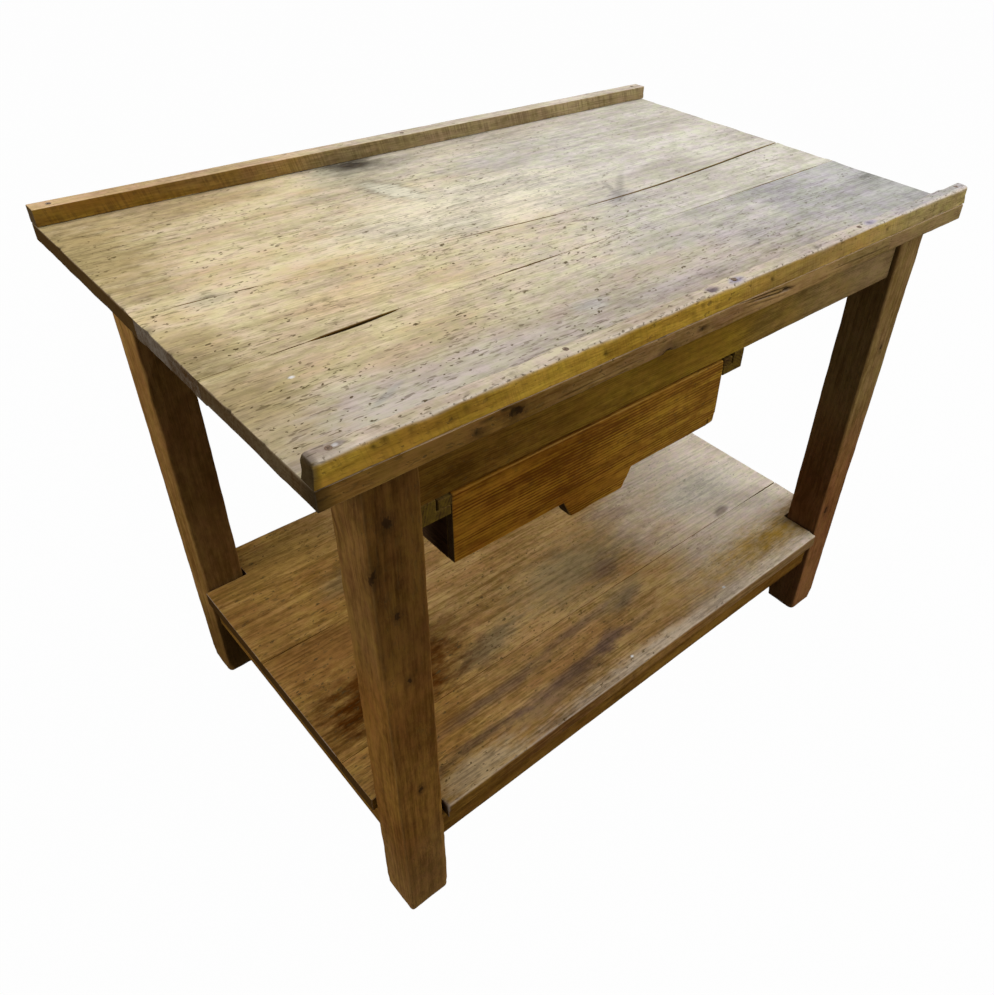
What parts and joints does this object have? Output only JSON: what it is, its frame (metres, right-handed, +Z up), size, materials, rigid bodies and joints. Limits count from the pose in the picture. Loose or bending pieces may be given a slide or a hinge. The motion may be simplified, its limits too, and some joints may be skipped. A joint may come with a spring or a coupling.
{
  "type": "work table",
  "caption": "Low-rimmed plank work table on square legs, with a plank shelf near the floor and a drawer hung on runners under the front apron.",
  "frame": {"origin": "on the floor under the middle of the top", "axes": "+X along the table to the right, +Y from the front, where the drawer opens, to the rear, +Z up"},
  "size_m": [1.02, 0.645, 0.806],
  "materials": {
    "top_wood": "old waxed pine, worn pale and flecked",
    "rim_wood": "old waxed pine, worn at the arrises",
    "frame_wood": "dark waxed pine",
    "shelf_wood": "old waxed pine, stained",
    "drawer_wood": "waxed pine with strong straight grain",
    "nail_iron": "dark iron, dull"
  },
  "bodies": {
    "frame": {"top_board_front": "top_wood", "top_board_middle": "top_wood", "top_board_rear": "top_wood", "front_rim_strip": "rim_wood", "rear_rim_strip": "rim_wood", "leg_front_left": "frame_wood", "leg_front_right": "frame_wood", "leg_rear_left": "frame_wood", "leg_rear_right": "frame_wood", "apron_front": "frame_wood", "apron_rear": "frame_wood", "apron_left": "frame_wood", "apron_right": "frame_wood", "shelf_rail_front": "frame_wood", "shelf_rail_rear": "frame_wood", "shelf_rail_left": "frame_wood", "shelf_rail_right": "frame_wood", "shelf_board_front": "shelf_wood", "shelf_board_middle": "shelf_wood", "shelf_board_rear": "shelf_wood", "runner_left": "drawer_wood", "runner_right": "drawer_wood", "drawer_stop_left": "drawer_wood", "drawer_stop_right": "drawer_wood", "top_board_nails": "nail_iron", "front_rim_nails": "nail_iron", "rear_rim_nails": "nail_iron", "shelf_board_nails": "nail_iron", "runner_nails": "nail_iron"},
    "drawer": {"drawer_front": "drawer_wood", "drawer_side_left": "drawer_wood", "drawer_side_right": "drawer_wood", "drawer_back": "drawer_wood", "drawer_bottom": "drawer_wood", "drawer_cleat_left": "drawer_wood", "drawer_cleat_right": "drawer_wood", "drawer_nails": "nail_iron"}
  },
  "joints": [
    {"name": "drawer_slide", "type": "slide", "parent": "frame", "child": "drawer", "axis": [0, -1, 0], "range_m": [0, 0.35]}
  ]
}
